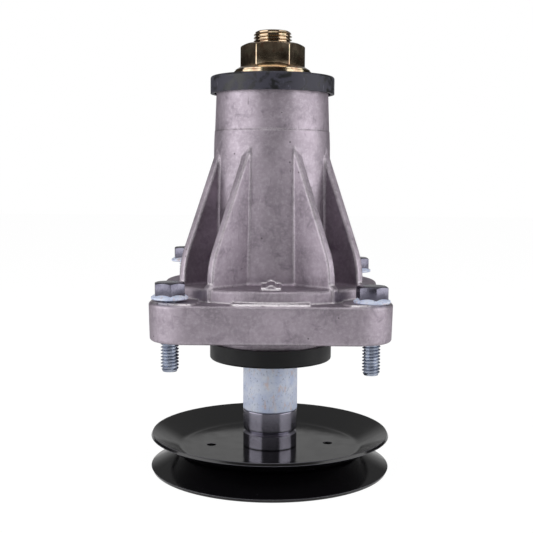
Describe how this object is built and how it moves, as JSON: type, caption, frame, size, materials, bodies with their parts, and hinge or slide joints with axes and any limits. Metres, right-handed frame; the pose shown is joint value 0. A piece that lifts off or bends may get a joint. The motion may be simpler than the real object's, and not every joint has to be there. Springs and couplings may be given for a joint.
{
  "type": "mower deck spindle",
  "caption": "Ribbed flanged bearing housing with a through spindle, a nut at the blade end and a belt pulley at the other.",
  "frame": {"origin": "middle of the housing's mounting face, on the spindle's axis", "axes": "+Z along the spindle to its blade end, +X and +Y parallel to the sides of the square flange"},
  "size_m": [0.1142, 0.1142, 0.2074],
  "materials": {
    "cast_aluminium": "as die cast, satin",
    "yellow_zinc": "yellow chromate over zinc",
    "bright_zinc": "bright blue-white zinc",
    "scuffed_black_cap": "scuffed satin",
    "smooth_black_cap": "smooth satin",
    "black_enamel": "gloss",
    "plain_steel": "turned",
    "bearing_steel": "ground and polished",
    "nylon_cage": "satin",
    "seal_rubber": "matt"
  },
  "bodies": {
    "housing": {"housing": "cast_aluminium", "blade_end_bearing_outer_ring": "bearing_steel", "blade_end_bearing_outer_seal": "seal_rubber", "blade_end_bearing_inner_seal": "seal_rubber", "pulley_end_bearing_outer_ring": "bearing_steel", "pulley_end_bearing_outer_seal": "seal_rubber", "pulley_end_bearing_inner_seal": "seal_rubber", "mounting_bolt_1": "bright_zinc", "mounting_bolt_2": "bright_zinc", "mounting_bolt_3": "bright_zinc", "mounting_bolt_4": "bright_zinc"},
    "spindle": {"spindle_shaft": "yellow_zinc", "blade_nut": "yellow_zinc", "blade_washer": "yellow_zinc", "blade_end_dust_cap": "scuffed_black_cap", "pulley_end_dust_cap": "smooth_black_cap", "bearing_spacer_tube": "plain_steel", "blade_end_bearing_inner_ring": "bearing_steel", "pulley_end_bearing_inner_ring": "bearing_steel", "spacer_sleeve": "bright_zinc", "hub_collar": "black_enamel", "pulley_hub": "black_enamel", "upper_sheave": "black_enamel", "lower_sheave": "black_enamel", "pulley_key": "plain_steel"},
    "blade_end_ball_set": {"blade_end_bearing_balls": "bearing_steel", "blade_end_bearing_cage": "nylon_cage"},
    "pulley_end_ball_set": {"pulley_end_bearing_balls": "bearing_steel", "pulley_end_bearing_cage": "nylon_cage"}
  },
  "joints": [
    {"name": "spindle_spin", "type": "hinge", "parent": "housing", "child": "spindle", "pos_m": [0, 0, 0], "axis": [0, 0, 1], "continuous": true},
    {"name": "blade_end_ball_orbit", "type": "hinge", "parent": "housing", "child": "blade_end_ball_set", "pos_m": [0, 0, 0.106], "axis": [0, 0, 1], "continuous": true},
    {"name": "pulley_end_ball_orbit", "type": "hinge", "parent": "housing", "child": "pulley_end_ball_set", "pos_m": [0, 0, -0.00265], "axis": [0, 0, 1], "continuous": true}
  ],
  "couplings": [
    {"joint": "blade_end_ball_orbit", "follows": "spindle_spin", "ratio": 0.3815},
    {"joint": "pulley_end_ball_orbit", "follows": "spindle_spin", "ratio": 0.3815}
  ]
}
